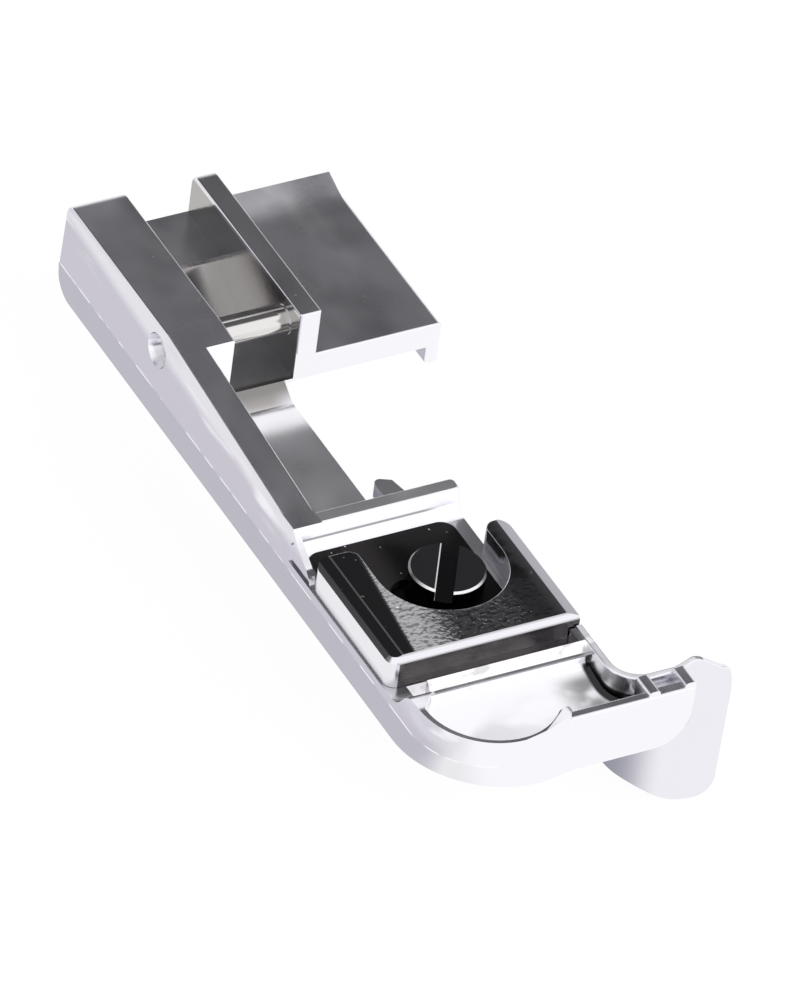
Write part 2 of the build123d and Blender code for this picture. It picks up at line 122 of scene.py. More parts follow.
# Fine height noise, and a patchy one many times larger
def buildSurfaceGrain():
    group, source, target = startGroup(
        "surfaceGrain",
        [("Scale", "NodeSocketFloat", 2500.0), ("Stretch", "NodeSocketVector", (1, 1, 1)),
         ("Detail", "NodeSocketFloat", 4.0), ("Patch Share", "NodeSocketFloat", 0.06)],
        [("Height", "NodeSocketFloat"), ("Patch", "NodeSocketFloat")],
    )
    coords = addNode(group, "ShaderNodeTexCoord", (-900, 300))
    stretch = addNode(group, "ShaderNodeVectorMath", (-700, 200), operation="MULTIPLY")
    linkNodes(group, coords, "Object", stretch, 0)
    linkNodes(group, source, "Stretch", stretch, 1)
    fine = addNode(group, "ShaderNodeTexNoise", (-450, 200))
    linkNodes(group, stretch, "Vector", fine, "Vector")
    linkNodes(group, source, "Scale", fine, "Scale")
    linkNodes(group, source, "Detail", fine, "Detail")
    slower = addMath(group, "MULTIPLY", (-650, -100))
    linkNodes(group, source, "Scale", slower, 0)
    linkNodes(group, source, "Patch Share", slower, 1)
    patch = addNode(group, "ShaderNodeTexNoise", (-450, -100))
    linkNodes(group, coords, "Object", patch, "Vector")
    linkNodes(group, slower, "Value", patch, "Scale")
    linkNodes(group, fine, "Fac", target, "Height")
    linkNodes(group, patch, "Fac", target, "Patch")
    return group


# Mask of how far a vector reaches along a direction: 0 at From, 1 at To
def buildAlong(name, kind, output, start, end):
    group, source, target = startGroup(
        name,
        [("Direction", "NodeSocketVector", (0, 0, 1)), ("From", "NodeSocketFloat", start),
         ("To", "NodeSocketFloat", end)],
        [("Mask", "NodeSocketFloat")],
    )
    origin = addNode(group, kind, (-600, 200))
    along = addNode(group, "ShaderNodeVectorMath", (-300, 200), operation="DOT_PRODUCT")
    linkNodes(group, origin, output, along, 0)
    linkNodes(group, source, "Direction", along, 1)
    linkNodes(group, addRamp(group, source, along, "Value"), "Result", target, "Mask")
    return group


# Painted shade: colour darkened where a surface is closed in, from ambient occlusion
def buildRecessShade():
    group, source, target = startGroup(
        "recessShade",
        [("Color", "NodeSocketColor", (1, 1, 1, 1)), ("Grime", "NodeSocketColor", (0.1, 0.1, 0.1, 1)),
         ("Reach", "NodeSocketFloat", 1.5 * mm), ("From", "NodeSocketFloat", 0.15),
         ("To", "NodeSocketFloat", 0.55)],
        [("Color", "NodeSocketColor")],
    )
    shade = addNode(group, "ShaderNodeAmbientOcclusion", (-600, 200), samples=8)
    linkNodes(group, source, "Reach", shade, "Distance")
    mix = addNode(group, "ShaderNodeMix", (400, 100), data_type="RGBA")
    linkNodes(group, addRamp(group, source, shade, "AO"), "Result", mix, "Factor")
    linkNodes(group, source, "Grime", mix, "A")
    linkNodes(group, source, "Color", mix, "B")
    linkNodes(group, mix, "Result", target, "Color")
    return group


# Noise cut down to separate blotches, lines or specks
def buildBlotches():
    group, source, target = startGroup(
        "blotches",
        [("Scale", "NodeSocketFloat", 300.0), ("Stretch", "NodeSocketVector", (1, 1, 1)),
         ("From", "NodeSocketFloat", 0.5), ("To", "NodeSocketFloat", 0.6)],
        [("Mask", "NodeSocketFloat")],
    )
    coords = addNode(group, "ShaderNodeTexCoord", (-700, 200))
    stretch = addNode(group, "ShaderNodeVectorMath", (-450, 200), operation="MULTIPLY")
    noise = addNode(group, "ShaderNodeTexNoise", (-200, 200))
    linkNodes(group, coords, "Object", stretch, 0)
    linkNodes(group, source, "Stretch", stretch, 1)
    linkNodes(group, stretch, "Vector", noise, "Vector")
    linkNodes(group, source, "Scale", noise, "Scale")
    linkNodes(group, addRamp(group, source, noise, "Fac"), "Result", target, "Mask")
    return group


# Mask of the distance from the upright line round which the blade turns
def buildTurnReach():
    group, source, target = startGroup(
        "turnReach",
        [("Centre", "NodeSocketVector", (0, 0, 0)), ("From", "NodeSocketFloat", 3 * mm),
         ("To", "NodeSocketFloat", 4 * mm)],
        [("Mask", "NodeSocketFloat")],
    )
    coords = addNode(group, "ShaderNodeTexCoord", (-1100, 200))
    toward = addNode(group, "ShaderNodeVectorMath", (-900, 200), operation="SUBTRACT")
    flat = addNode(group, "ShaderNodeVectorMath", (-700, 200), operation="MULTIPLY")
    flat.inputs[1].default_value = (1, 1, 0)
    corner = addNode(group, "ShaderNodeVectorMath", (-500, 200), operation="MAXIMUM")
    distance = addNode(group, "ShaderNodeVectorMath", (-300, 200), operation="LENGTH")
    linkNodes(group, source, "Centre", toward, 0)
    linkNodes(group, coords, "Object", toward, 1)
    linkNodes(group, toward, "Vector", flat, 0)
    linkNodes(group, flat, "Vector", corner, 0)
    linkNodes(group, corner, "Vector", distance, 0)
    linkNodes(group, addRamp(group, source, distance, "Value"), "Result", target, "Mask")
    return group


surfaceGrain = buildSurfaceGrain()
facing = buildAlong("facing", "ShaderNodeNewGeometry", "Normal", 0.8, 0.98)
across = buildAlong("across", "ShaderNodeTexCoord", "Object", 0.0, 1 * mm)
recessShade = buildRecessShade()
blotches = buildBlotches()
turnReach = buildTurnReach()
print("shader groups built")


# Zones of a surface. A zone's mask is the product of what it lists, each running from 0 at a
# start to 1 at an end: "limits" along an axis in mm, "facings" for the normal's share along a
# direction, "reaches" for the distance in mm from a centre, and "patterns" for noise of a
# scale and a stretch. "strength" thins the whole mask.

alongX = (1, 0, 0)
alongY = (0, 1, 0)
alongZ = (0, 0, 1)
toLeft = (-1, 0, 0)
toFront = (0, -1, 0)
toFrontLeft = (-0.7, -0.7, 0)
evenly = (1, 1, 1)

onTops = [(alongZ, 0.8, 0.95)]
onSlopes = [(alongZ, 0.6, 0.8)]
onLevel = [(alongZ, 0.9, 0.95)]
onFronts = [(toFront, 0.6, 0.85)]
onLeftSides = [(toLeft, 0.6, 0.85)]
onFlatLeft = [(toLeft, 0.72, 0.95)]
onFrontLeft = [(toFrontLeft, 0.3, 0.6)]

maskGap = 180
zoneGap = 800


# The first product takes the zone's strength, and each later one the product before it
def placeZone(tree, zone, place):
    column, row = place
    wanted = []
    for axis, start, end in zone.get("limits", ()):
        wanted.append((across, {"Direction": axis, "From": start * mm, "To": end * mm}))
    for direction, start, end in zone.get("facings", ()):
        wanted.append((facing, {"Direction": direction, "From": start, "To": end}))
    for centre, start, end in zone.get("reaches", ()):
        middle = Vector(centre) * mm
        wanted.append((turnReach, {"Centre": middle, "From": start * mm, "To": end * mm}))
    for scale, stretch, start, end in zone.get("patterns", ()):
        wanted.append((blotches, {"Scale": scale, "Stretch": stretch, "From": start, "To": end}))
    whole = None
    for index, (group, values) in enumerate(wanted):
        height = row - maskGap * index
        mask = placeGroup(tree, group, (column, height), **values)
        product = addMath(tree, "MULTIPLY", (column + 200, height), second=zone.get("strength", 1.0))
        linkNodes(tree, mask, "Mask", product, 0)
        if whole is not None:
            linkNodes(tree, whole, "Value", product, 1)
        whole = product
    return whole.outputs["Value"]


# Colour that each zone in turn changes
def addTones(tree, firstColor, zones, place):
    column, row = place
    last = None
    for index, zone in enumerate(zones.values()):
        height = row - zoneGap * index
        mask = placeZone(tree, zone, (column, height))
        mix = addMix(tree, (column + 500, height), mask, firstColor, zone["color"])
        if last is not None:
            linkNodes(tree, last, "Result", mix, "A")
        last = mix
    return last


# Normal that leans over in each zone, as on a face that is a little hollow or rounded
def addLeans(tree, zones, place):
    column, row = place
    last = addNode(tree, "ShaderNodeNewGeometry", (column, row + 200))
    output = "Normal"
    for index, zone in enumerate(zones.values()):
        height = row - zoneGap * index
        mask = placeZone(tree, zone, (column, height))
        lean = addNode(tree, "ShaderNodeVectorMath", (column + 500, height), operation="SCALE")
        lean.inputs[0].default_value = zone["lean"]
        tree.links.new(mask, lean.inputs["Scale"])
        total = addNode(tree, "ShaderNodeVectorMath", (column + 700, height), operation="ADD")
        linkNodes(tree, last, output, total, 0)
        linkNodes(tree, lean, "Vector", total, 1)
        last = total
        output = "Vector"
    unit = addNode(tree, "ShaderNodeVectorMath", (column + 900, row), operation="NORMALIZE")
    linkNodes(tree, last, output, unit, 0)
    return unit


def addBump(tree, place, distance, source, output, normal=None, normalOutput="Vector"):
    bump = addNode(tree, "ShaderNodeBump", place)
    bump.inputs["Distance"].default_value = distance
    linkNodes(tree, source, output, bump, "Height")
    if normal is not None:
        linkNodes(tree, normal, normalOutput, bump, "Normal")
    return bump


# Satin chrome of the casting: tops a little rougher than the sides

casting = {
    "color": (0.80, 0.80, 0.82, 1),
    "sideRoughness": 0.16,
    "topRoughness": 0.30,
    "roughShare": (0.6, 1.4),
    # painted shade colour for the casting's recesses and corners
    "recessShadeColor": (0.42, 0.41, 0.42, 1),
    "recessShadeFrom": 0.04,
    "recessShadeTo": 0.3,
    "grainScale": 3000.0,
    "grainHeight": 0.004 * mm,
    "waveScale": 260.0,
    "waveDetail": 2.0,
    "waveHeight": 0.03 * mm,
}

# Heights of the casting in mm
wallTop = 2.4
crossTop = 0.3
crossMiddle = -1.16
toeTop = -1.0
rearFloor = -1.5
lipFoot = -1.9
bedTop = -2.8
parting = -3.5
slotFloor = -3.9
plateTop = -4.9
sole = -6.5

# Places along the foot in mm
floorStep = 10.3
rampFoot = 6.1
wallFront = -2.6
blockFront = -3.3
crossRear = -21.9
crossFront = -23.2
bedFront = -39.5
slotFront = -41.0
lipFront = -41.95
bladeFront = -46.9

# Places across the foot in mm
slotLeft = -6.3
lipLeft = -5.5
railInner = -5.45
gapRight = 3.05
thinRight = 4.9
bladeLeft = 8.05

acrossRail = (0, -0.06, 1)
acrossMound = (0.55, -0.83, 0)
bladeTurn = (10.85, -44.1, 0)
notchX = 1.0
notchY = -30.4

inPinGap = [
    (alongY, rampFoot - 0.2, rampFoot + 0.1),
    (alongY, floorStep + 0.2, floorStep),
    (alongZ, rearFloor - 0.05, rearFloor - 0.25),
]
onCrossFront = [
    (alongY, crossFront - 1.0, crossFront - 0.8),
    (alongY, crossFront + 0.3, crossFront + 0.1),
]
onCrossTop = [
    (alongY, crossFront - 0.2, crossFront),
    (alongY, crossRear + 0.1, crossRear),
    (alongX, railInner - 0.15, railInner + 0.05),
    (alongZ, crossTop - 0.2, crossTop - 0.1),
]
onPlate = [
    (alongZ, plateTop - 0.2, plateTop - 0.1),
    (alongZ, plateTop + 0.2, plateTop + 0.1),
    (alongY, crossRear - 0.1, crossRear + 0.9),
]
onPlateRamp = [
    (alongZ, slotFloor + 0.1, slotFloor + 0.02),
    (alongY, wallFront + 0.6, wallFront + 0.1),
]
onScoop = [(alongZ, 0.2, 0.45)]
inScoop = [
    (alongZ, lipFoot + 0.1, lipFoot - 0.2),
    (alongX, bladeLeft + 0.25, bladeLeft - 0.05),
]
onBladeBend = [(toFrontLeft, 0.2, 0.4)]
insideBlade = [(bladeTurn, 3.3, 3.0)]
behindSlot = [
    (alongY, slotFront + 0.1, slotFront),
    (alongX, lipLeft - 0.1, lipLeft + 0.1),
]

sideTones = {
    "clouds": {
        "facings": onTops, "patterns": [(140.0, (1, 0.7, 1), 0.42, 0.68)],
        "color": (0.55, 0.55, 0.57, 1),
    },
    "smudges": {
        "facings": onTops, "patterns": [(300.0, (1, 0.5, 1), 0.5, 0.85)],
        "color": (1, 1, 1, 1),
    },
    # painted reflection: front faces are made lighter, standing in for the bright floor they mirror
    "litFronts": {"facings": onFronts, "color": (0.93, 0.92, 0.955, 1)},
    # painted shade: left-facing sides are made darker, standing in for the shadowed floor they mirror
    "shadedLeftSide": {"facings": onFlatLeft, "color": (0.555, 0.535, 0.605, 1)},
    # painted shade: the left side below the parting line is made darker still
    "shadedLowerSide": {
        "facings": onFlatLeft, "limits": [(alongZ, parting + 0.05, parting - 0.1)],
        "color": (0.445, 0.43, 0.495, 1),
    },
    # painted reflection: a lighter, patchy band along the upper part of the left side
    "litUpperBand": {
        "facings": onLeftSides, "limits": [(acrossRail, -0.5, 0.9)],
        "patterns": [(260.0, (1, 0.3, 1), 0.3, 0.55)], "color": (0.76, 0.75, 0.79, 1),
    },
    "wisps": {
        "facings": onLeftSides, "limits": [(acrossRail, -1.6, 0.4)],
        "patterns": [(420.0, (1, 0.16, 1), 0.55, 0.64)], "color": (0.90, 0.89, 0.93, 1),
    },
    # painted highlight: a broken white line along the casting's real parting line
    "partingLineGlint": {
        "facings": onFrontLeft,
        "limits": [(alongZ, parting - 0.09, parting - 0.04),
                   (alongZ, parting + 0.09, parting + 0.04), (alongX, -2.5, -4.0)],
        "patterns": [(620.0, (1, 0.6, 1), 0.46, 0.52)], "color": (1, 1, 1, 1), "strength": 0.9,
    },
}

toeTones = {
    # painted reflection: the fin's front gets its own lighter tone, a little dimmer than the other
    # fronts
    "litFinFront": {
        "facings": onFronts,
        "limits": [(alongY, bladeFront - 1.3, bladeFront - 0.6),
                   (alongY, bladeFront + 2.9, bladeFront + 1.9)],
        "color": (0.85, 0.835, 0.885, 1),
    },
    # painted shade: the fin's bend, where it turns to face left, is made darker
    "shadedFinBend": {
        "facings": onFrontLeft,
        "limits": [(alongX, bladeLeft - 0.35, bladeLeft - 0.15),
                   (alongX, bladeLeft + 4.95, bladeLeft + 0.55),
                   (alongY, bladeFront - 1.3, bladeFront - 0.6), (alongZ, sole + 0.2, sole - 0.1)],
        "color": (0.31, 0.31, 0.37, 1),
    },
    # painted highlight: the lip behind the slot is made near white
    "litLip": {
        "limits": [(alongY, lipFront + 0.2, lipFront + 0.35), *behindSlot],
        "color": (1, 0.99, 0.98, 1),
    },
    "lipMarks": {
        "limits": [(alongY, lipFront - 0.05, lipFront + 0.05), *behindSlot],
        "patterns": [(900.0, (0.6, 1, 1), 0.50, 0.66)], "color": (0.55, 0.54, 0.53, 1),
        "strength": 0.6,
    },
    # painted reflection: the scoop's floor is made lighter than the rest of the casting
    "litScoop": {
        "facings": onScoop,
        "limits": [*inScoop, (alongY, lipFront + 0.15, lipFront)],
        "color": (0.90, 0.895, 0.90, 1),
    },
    "scoopSmudges": {
        "facings": onScoop,
        "limits": [*inScoop, (alongY, lipFront - 0.55, lipFront - 3.05)],
        "patterns": [(260.0, (0.7, 1, 1), 0.42, 0.64)], "color": (0.66, 0.65, 0.66, 1),
        "strength": 0.7,
    },
    "scoopShade": {
        "facings": onScoop,
        "limits": [*inScoop, (alongY, lipFront - 0.25, lipFront - 1.45)],
        "reaches": [(bladeTurn, 7.2, 4.0)], "patterns": [(420.0, evenly, 0.25, 0.5)],
        "color": (0.30, 0.295, 0.30, 1),
    },
    # painted shade: the blade's inner face is made darker
    "shadedBladeInside": {
        "facings": onBladeBend,
        "limits": [(alongZ, toeTop - 0.1, toeTop - 0.3), (alongZ, sole + 0.1, sole + 0.4),
                   (alongY, slotFront - 0.2, slotFront - 0.6),
                   (alongX, bladeLeft + 2.95, bladeLeft + 1.95)],
        "reaches": insideBlade, "color": (0.66, 0.66, 0.67, 1),
    },
    # painted reflection: a darker streak across the blade's inner face
    "bladeReflectionStreak": {
        "facings": onBladeBend,
        "limits": [(alongZ, toeTop - 1.5, toeTop - 1.3), (alongZ, toeTop - 1.0, toeTop - 1.2),
                   (alongY, slotFront - 3.0, slotFront - 3.6),
                   (alongX, bladeLeft + 1.55, bladeLeft + 1.15)],
        "reaches": insideBlade, "color": (0.5, 0.5, 0.52, 1), "strength": 0.6,
    },
    # painted shade: a near-black band in the crease along the blade's foot
    "bladeFootShade": {
        "limits": [(alongZ, toeTop - 1.5, toeTop - 1.75), (alongZ, sole + 1.7, sole + 2.1),
                   (alongY, slotFront - 0.6, slotFront - 1.0),
                   (alongX, bladeLeft + 2.55, bladeLeft + 1.95)],
        "reaches": [(bladeTurn, 3.5, 3.2)], "color": (0.035, 0.034, 0.035, 1),
    },
}

middleTones = {
    # painted shade: the thin wall's face into the pin gap is made darker
    "shadedGapWall": {
        "facings": onLeftSides,
        "limits": [(alongX, gapRight - 0.25, gapRight - 0.05),
                   (alongX, gapRight + 0.35, gapRight + 0.15),
                   (alongZ, wallTop - 0.3, wallTop - 0.5),
                   (alongY, wallFront + 0.1, wallFront + 0.3)],
        "color": (0.42, 0.41, 0.40, 1),
    },
    # painted shade: the ramp in the pin gap is made darker, as if mirroring the shaded wall
    "shadedGapRamp": {
        "facings": onSlopes,
        "limits": [*inPinGap, (alongX, -gapRight - 0.15, -gapRight + 0.05),
                   (alongX, gapRight + 0.15, gapRight - 0.05)],
        "color": (0.58, 0.565, 0.555, 1),
    },
    # painted shade: the left part of the pin-gap ramp is made darker still
    "shadedGapRampLeft": {
        "facings": onSlopes, "limits": [*inPinGap, (alongX, 2.4, -0.8)],
        "color": (0.34, 0.32, 0.305, 1),
    },
    # painted reflection: a thin dark line across the crossbar's front
    "crossbarReflectionLine": {
        "facings": onFronts,
        "limits": [*onCrossFront, (alongZ, crossMiddle - 0.18, crossMiddle - 0.06),
                   (alongZ, crossMiddle + 0.18, crossMiddle + 0.06), (alongX, 5.2, 3.4)],
        "color": (0.36, 0.36, 0.36, 1),
    },
    # painted light: the crossbar's top is made lighter than the other tops
    "litCrossbarTop": {"facings": onTops, "limits": onCrossTop, "color": (1, 1, 1, 1)},
    # painted light: the low plate's top is made lighter than the other tops
    "plate": {"facings": onLevel, "limits": onPlate, "color": (0.95, 0.94, 0.95, 1)},
    # painted shade: the left part of the plate ramp is made darker and brownish
    "shadedPlateRampLeft": {
        "facings": onSlopes,
        "limits": [*onPlateRamp, (alongY, blockFront - 1.6, blockFront - 0.5), (alongX, 3.0, 0.4)],
        "color": (0.42, 0.40, 0.385, 1),
    },
    # painted shade: the plate ramp just in front of the block is made dark
    "shadedPlateRampHead": {
        "facings": onSlopes,
        "limits": [*onPlateRamp, (alongY, blockFront - 1.0, blockFront + 0.4)],
        "color": (0.26, 0.25, 0.24, 1),
    },
    "thinWallTop": {
        "facings": onTops,
        "limits": [(alongZ, wallTop - 0.3, wallTop - 0.2), (alongX, gapRight - 0.15, gapRight - 0.05),
                   (alongX, thinRight + 0.2, thinRight + 0.1)],
        "color": (0.58, 0.575, 0.59, 1),
    },
    # painted shadow: near-black slopes round the notch under the screw
    "screwShadow": {
        "facings": onSlopes,
        "limits": [(alongX, notchX - 5.2, notchX - 5.0), (alongX, notchX + 4.4, notchX + 4.2),
                   (alongY, notchY - 5.6, notchY - 5.1), (alongY, notchY + 4.4, notchY + 3.9),
                   (alongZ, bedTop + 0.2, bedTop + 0.1)],
        "color": (0.03, 0.03, 0.03, 1),
    },
    "specks": {
        "facings": onTops, "patterns": [(1500.0, evenly, 0.73, 0.76)],
        "color": (1, 1, 1, 1),
    },
}

castingTones = {**sideTones, **toeTones, **middleTones}

castingLeans = {
    "plate": {"facings": onLevel, "limits": onPlate, "lean": (0, -0.16, 0)},
    "crossbarCrown": {"facings": onTops, "limits": onCrossTop, "lean": (0, -0.13, 0)},
    "blockFront": {
        "facings": onFronts,
        "limits": [(alongY, blockFront - 0.2, blockFront - 0.1),
                   (alongY, blockFront + 0.3, blockFront + 0.1),
                   (alongX, railInner - 0.15, railInner + 0.05), (alongZ, slotFloor, slotFloor + 0.7)],
        "lean": (0, 0, 0.6),
    },
    "bladeTop": {
        "facings": onTops,
        "limits": [(alongZ, toeTop - 0.4, toeTop - 0.3), (alongY, bedFront + 0.5, bedFront - 0.1),
                   (alongX, bladeLeft - 0.05, bladeLeft + 0.05)],
        "reaches": [(bladeTurn, 2.95, 2.82)], "lean": (-0.2, -0.28, 0),
    },
    "mound": {
        "facings": onTops,
        "limits": [(acrossMound, 41.15, 41.3), (alongX, -0.5, 0.5),
                   (alongZ, toeTop - 0.3, toeTop - 0.2), (alongX, 2.8, 2.7)],
        "lean": (-0.1, -0.7, 0),
    },
    "leftWall": {
        "facings": [(alongZ, 0.3, 0.6)],
        "limits": [(alongX, lipLeft + 0.4, lipLeft + 0.1), (alongY, bedFront - 0.5, bedFront - 1.1),
                   (alongY, lipFront - 2.45, lipFront - 1.25), (alongZ, bedTop - 0.1, bedTop + 0.1)],
        "lean": (-0.3, -0.5, 0),
    },
    "scoopWall": {
        "facings": [(toFront, 0.25, 0.5)],
        "limits": [(alongY, lipFront - 0.95, lipFront - 0.65),
                   (alongY, lipFront + 0.15, lipFront + 0.02),
                   (alongZ, lipFoot - 0.04, lipFoot - 0.1),
                   (alongX, bladeLeft - 0.15, bladeLeft - 0.45),
                   (alongX, slotLeft - 0.7, slotLeft - 0.3)],
        "lean": (0, 0, 0.9),
    },
    "crossbarHead": {
        "facings": onFronts,
        "limits": [*onCrossFront, (alongZ, crossMiddle - 0.14, crossMiddle + 0.06)],
        "lean": (0, 0, 0.55),
    },
    "crossbarFoot": {
        "facings": onFronts,
        "limits": [*onCrossFront, (alongZ, crossMiddle + 0.06, crossMiddle - 0.14)],
        "lean": (0, 0, 0.9),
    },
    "scoopFloor": {
        "facings": onScoop,
        "limits": [(alongZ, lipFoot + 0.1, lipFoot - 0.2), (alongY, lipFront + 0.15, lipFront),
                   (alongX, bladeLeft + 0.55, bladeLeft - 0.05)],
        "lean": (-0.15, -0.5, 0),
    },
    "shadedGapRamp": {
        "facings": onSlopes, "limits": [*inPinGap, (alongX, 2.2, -0.6)],
        "lean": (0, 0.32, 0),
    },
    "plateGlow": {
        "facings": onLevel,
        "limits": [(alongY, wallFront - 6.2, wallFront - 3.0),
                   (alongZ, plateTop + 0.2, plateTop + 0.05),
                   (alongY, wallFront - 1.5, wallFront - 2.4)],
        "lean": (0, -0.3, 0),
    },
}


def makeCastingPlate():
    material, tree, shader = startMaterial("satinChromePlate")
    setSockets(shader, {"Metallic": 1.0})
    toned = addTones(tree, casting["color"], castingTones, (-1600, 1500))
    # painted shade: the casting's colour is darkened in its recesses and corners
    hollow = placeGroup(
        tree, recessShade, (300, 300),
        Grime=casting["recessShadeColor"], From=casting["recessShadeFrom"], To=casting["recessShadeTo"],
    )
    linkNodes(tree, toned, "Result", hollow, "Color")
    linkNodes(tree, hollow, "Color", shader, "Base Color")

    grain = placeGroup(tree, surfaceGrain, (-600, -200), Scale=casting["grainScale"])
    wave = placeGroup(
        tree, surfaceGrain, (-600, -450), Scale=casting["waveScale"], Detail=casting["waveDetail"],
    )
    up = placeGroup(tree, facing, (-600, 200))
    rough = addNode(tree, "ShaderNodeMapRange", (-300, 200))
    rough.inputs["To Min"].default_value = casting["sideRoughness"]
    rough.inputs["To Max"].default_value = casting["topRoughness"]
    linkNodes(tree, up, "Mask", rough, "Value")
    vary = addNode(tree, "ShaderNodeMapRange", (-300, -50))
    leastShare, mostShare = casting["roughShare"]
    vary.inputs["To Min"].default_value = leastShare
    vary.inputs["To Max"].default_value = mostShare
    linkNodes(tree, grain, "Patch", vary, "Value")
    both = addMath(tree, "MULTIPLY", (-50, 100))
    linkNodes(tree, rough, "Result", both, 0)
    linkNodes(tree, vary, "Result", both, 1)
    linkNodes(tree, both, "Value", shader, "Roughness")

    leaned = addLeans(tree, castingLeans, (-3000, 0))
    coarse = addBump(tree, (0, -450), casting["waveHeight"], wave, "Height", leaned)
    fine = addBump(tree, (250, -300), casting["grainHeight"], grain, "Height", coarse, "Normal")
    linkNodes(tree, fine, "Normal", shader, "Normal")
    return material


# Bright steel of the pin, with fine turning marks round it

pin = {
    "color": (0.74, 0.73, 0.70, 1),
    "roughness": 0.14,
    "turnScale": 5000.0,
    "turnStretch": (1, 0.05, 0.05),
    "turnHeight": 0.0015 * mm,
}


def makePinSteel():
    material, tree, shader = startMaterial("pinSteel")
    setSockets(shader, {"Base Color": pin["color"], "Metallic": 1.0, "Roughness": pin["roughness"]})
    turned = placeGroup(
        tree, surfaceGrain, (-400, -200), Scale=pin["turnScale"], Stretch=pin["turnStretch"],
    )
    bump = addBump(tree, (200, -200), pin["turnHeight"], turned, "Height")
    linkNodes(tree, bump, "Normal", shader, "Normal")
    return material


# Tape guide: black plate, glossy at the left, orange peel from there to a lighter right margin,
# with bright bevels and sides and a duller black flange

# across the edge of the glossy band, which runs a little askew
bandSide = (1, -0.102, 0)
bandEdge = -1.6
bandHighlightLine = -6.61
marginLeft = 7.5
flangeTop = -2.2
onGuideTop = [(alongZ, 0.9, 0.94)]
onFlange = [(alongZ, flangeTop + 0.3, flangeTop)]
onFrontBevel = [((0, -0.7, 0.7), 0.93, 0.97)]
rightOfBand = (bandSide, bandEdge - 0.3, bandEdge + 0.2)
onBandLine = [
    (alongX, bandHighlightLine - 0.11, bandHighlightLine - 0.03),
    (alongX, bandHighlightLine + 0.11, bandHighlightLine + 0.03),
]

guide = {
    "bandColor": (0.12, 0.118, 0.12, 1),
    "roughness": 0.12,
    "flangeRoughness": 0.35,
    "peelArea": {
        "limits": [(bandSide, bandEdge - 0.4, bandEdge + 0.3),
                   (alongX, marginLeft - 0.2, marginLeft - 1.3),
                   (alongZ, flangeTop + 0.3, flangeTop + 1.2)],
        "facings": onGuideTop,
    },
    "flangeArea": {"limits": onFlange},
    "streakArea": {"limits": [(alongX, marginLeft - 3.3, marginLeft - 1.3)]},
    "peelScale": 3200.0,
    "peelDetail": 3.0,
    "peelHeight": 0.075 * mm,
    "streakScale": 1600.0,
    "streakStretch": (0.35, 1.2, 1),
}

guideTones = {
    "peel": {"limits": [rightOfBand], "color": (0.36, 0.355, 0.36, 1)},
    "lightPeel": {"limits": [rightOfBand, (bandSide, 5.0, -1.0)], "color": (0.40, 0.395, 0.40, 1)},
    "rightPeel": {
        "limits": [(alongX, marginLeft - 4.7, marginLeft - 2.1)],
        "color": (0.20, 0.197, 0.20, 1),
    },
    "pits": {
        "limits": [(bandSide, bandEdge - 0.1, bandEdge + 0.6)],
        "patterns": [(2500.0, (0.7, 1.3, 1), 0.50, 0.60)], "color": (0.10, 0.10, 0.10, 1),
        "strength": 0.75,
    },
    "ripples": {
        "limits": [(alongX, marginLeft - 2.9, marginLeft - 1.5), (alongY, notchY - 4.6, notchY - 2.6)],
        "patterns": [(700.0, (0.6, 1.6, 1), 0.46, 0.56)], "color": (0.05, 0.05, 0.05, 1),
        "strength": 0.8,
    },
    "margin": {
        "limits": [(alongX, marginLeft - 1.2, marginLeft + 0.2)],
        "color": (0.42, 0.41, 0.43, 1),
    },
    # painted highlight: a thin light line within the dark band
    "bandHighlightLine": {"limits": onBandLine, "color": (0.7, 0.7, 0.7, 1)},
    "flange": {"limits": onFlange, "color": (0.03, 0.028, 0.028, 1)},
    "specks": {"patterns": [(1500.0, evenly, 0.72, 0.75)], "color": (0.9, 0.9, 0.9, 1)},
    "sides": {"facings": [(alongZ, 0.94, 0.90)], "color": (0.82, 0.81, 0.84, 1)},
    # painted shade: the guide's front face is made near black, standing in for the shaded slot it
    # mirrors
    "front": {"facings": [(toFront, 0.97, 0.99)], "color": (0.11, 0.105, 0.105, 1)},
    # painted shade: the guide's left bevel is made darker
    "shadedLeftBevel": {"facings": [((-0.7, 0, 0.7), 0.88, 0.97)], "color": (0.16, 0.155, 0.16, 1)},
    # painted shade: the top of the front bevel is made darker
    "bevelHeadShade": {
        "facings": onFrontBevel, "limits": [(alongZ, -0.16, -0.03)],
        "color": (0.55, 0.545, 0.56, 1),
    },
    # painted shade: the foot of the front bevel is made darker
    "bevelFootShade": {
        "facings": onFrontBevel, "limits": [(alongZ, -0.36, -0.5)],
        "color": (0.40, 0.395, 0.40, 1),
    },
}

guideLeans = {
    "bandHighlightLine": {"limits": onBandLine, "facings": onGuideTop, "lean": (-0.08, -0.15, 0)},
    "lightPeel": {
        "limits": [(bandSide, bandEdge - 0.3, bandEdge + 0.3), (bandSide, 4.5, -1.0)],
        "facings": onGuideTop, "lean": (-0.3, -0.4, 0),
    },
    "margin": {
        "limits": [(alongX, marginLeft - 0.9, marginLeft + 0.7)],
        "facings": onGuideTop, "lean": (0.1, -0.12, 0),
    },
}


